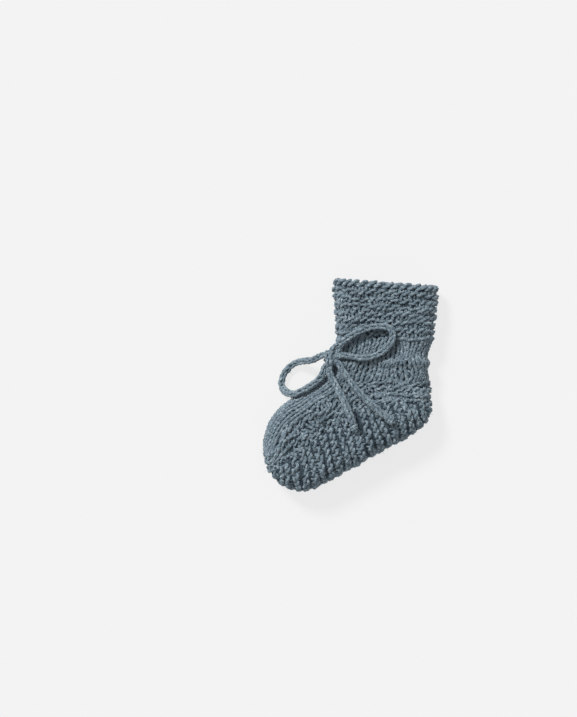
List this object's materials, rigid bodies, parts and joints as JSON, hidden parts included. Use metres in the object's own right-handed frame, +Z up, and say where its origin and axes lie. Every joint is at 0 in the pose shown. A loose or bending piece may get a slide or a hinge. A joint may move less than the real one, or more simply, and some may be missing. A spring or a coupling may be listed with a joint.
{
  "type": "baby bootie",
  "caption": "Hand-knitted baby bootie lying on its side, with a garter-stitch cuff, upper and sole, and a knitted cord tied in a bow at the ankle.",
  "frame": {"origin": "middle of the base of the bootie's box, on the surface that the bootie lies on", "axes": "+Y up the leg towards the cuff's mouth, +X towards the heel and the back of the leg, +Z up off the surface, through the near layer"},
  "size_m": [0.096, 0.124, 0.0311],
  "materials": {
    "garter_yarn": "soft matt wool, heathered slate blue",
    "stocking_yarn": "soft matt wool, heathered slate blue",
    "tie_yarn": "soft matt wool, heathered slate blue",
    "seam_yarn": "soft matt wool, heathered slate blue"
  },
  "bodies": {
    "foot": {"foot_upper": "garter_yarn", "sole": "garter_yarn", "instep_panel": "stocking_yarn", "ankle_band": "stocking_yarn", "sole_seam": "seam_yarn", "instep_seam_near": "seam_yarn", "instep_seam_far": "seam_yarn", "ankle_back_seam": "seam_yarn", "heel_back_seam": "seam_yarn", "tie_band": "tie_yarn", "bow_knot": "tie_yarn", "bow_loop_front": "tie_yarn", "bow_loop_back": "tie_yarn", "tie_tail_left": "tie_yarn", "tie_tail_right": "tie_yarn", "tie_end_left": "tie_yarn", "tie_end_right": "tie_yarn"},
    "leg": {"cuff_edge": "garter_yarn", "cuff": "garter_yarn", "cuff_back_seam": "seam_yarn"}
  },
  "joints": [
    {"name": "ankle_flex", "type": "hinge", "parent": "foot", "child": "leg", "pos_m": [0.0086, 0.0176, 0.01], "axis": [0, 0, 1], "range_deg": [-15, 15], "deforming": ["ankle_band", "ankle_back_seam", "tie_band"]}
  ]
}
